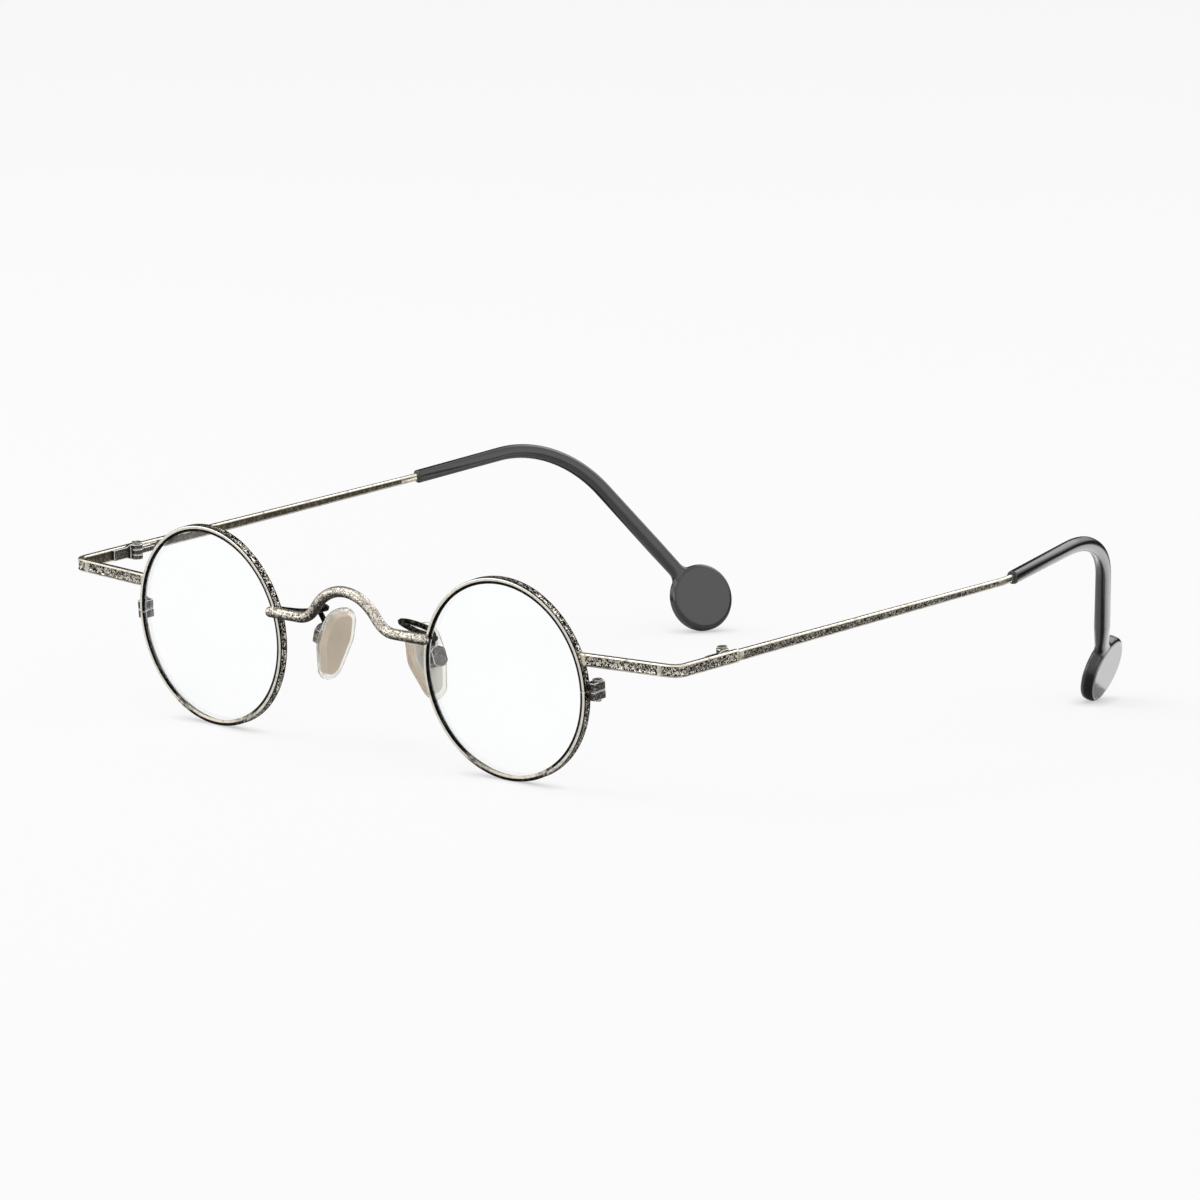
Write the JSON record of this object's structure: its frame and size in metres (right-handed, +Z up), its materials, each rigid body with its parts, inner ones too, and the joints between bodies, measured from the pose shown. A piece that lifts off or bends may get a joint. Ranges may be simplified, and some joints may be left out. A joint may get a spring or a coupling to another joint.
{
  "type": "eyeglasses",
  "caption": "Round wire eyeglasses with an arched crest bridge, folding temples, curved tips that end in flat discs, and rocking nose pads.",
  "frame": {"origin": "on the surface that the open frame stands on, midway between the rims and at their mid depth", "axes": "+X towards the wearer's left, +Y back towards the ears, +Z up"},
  "size_m": [0.1402, 0.1498, 0.0349],
  "materials": {
    "frame_metal": "antique silver, engraved on the outside and bright on the edges",
    "fitting_metal": "dark antique metal",
    "screw_steel": "bright steel",
    "lens": "clear, polished",
    "tip_plastic": "satin black",
    "pad_clear": "clear, glossy",
    "pad_core": "beige"
  },
  "bodies": {
    "front": {"bridge": "frame_metal", "rim_left": "frame_metal", "lens_left": "lens", "rim_lock_upper_left": "fitting_metal", "rim_lock_lower_left": "fitting_metal", "rim_screw_left": "screw_steel", "end_piece_left": "frame_metal", "hinge_front_left": "fitting_metal", "hinge_screw_left": "screw_steel", "pad_arm_left": "fitting_metal", "pad_box_left": "fitting_metal", "pad_screw_left": "screw_steel", "rim_right": "frame_metal", "lens_right": "lens", "rim_lock_upper_right": "fitting_metal", "rim_lock_lower_right": "fitting_metal", "rim_screw_right": "screw_steel", "end_piece_right": "frame_metal", "hinge_front_right": "fitting_metal", "hinge_screw_right": "screw_steel", "pad_arm_right": "fitting_metal", "pad_box_right": "fitting_metal", "pad_screw_right": "screw_steel"},
    "left_temple": {"temple_left": "frame_metal", "tip_left": "tip_plastic", "hinge_temple_left": "fitting_metal"},
    "left_pad": {"nose_pad_left": "pad_clear", "pad_core_left": "pad_core"},
    "right_temple": {"temple_right": "frame_metal", "tip_right": "tip_plastic", "hinge_temple_right": "fitting_metal"},
    "right_pad": {"nose_pad_right": "pad_clear", "pad_core_right": "pad_core"}
  },
  "joints": [
    {"name": "left_temple_fold", "type": "hinge", "parent": "front", "child": "left_temple", "pos_m": [0.06784, 0.01567, 0.02416], "axis": [0, -0.0802, 0.9968], "range_deg": [0, 86]},
    {"name": "right_temple_fold", "type": "hinge", "parent": "front", "child": "right_temple", "pos_m": [-0.06784, 0.01567, 0.02416], "axis": [0, 0.0802, -0.9968], "range_deg": [0, 80]},
    {"name": "left_pad_rock", "type": "hinge", "parent": "front", "child": "left_pad", "pos_m": [0.01297, 0.00548, 0.0178], "axis": [0.0523, 0.9903, 0.1286], "range_deg": [-7, 7]},
    {"name": "right_pad_rock", "type": "hinge", "parent": "front", "child": "right_pad", "pos_m": [-0.01297, 0.00548, 0.0178], "axis": [-0.0523, 0.9903, 0.1286], "range_deg": [-7, 7]}
  ]
}
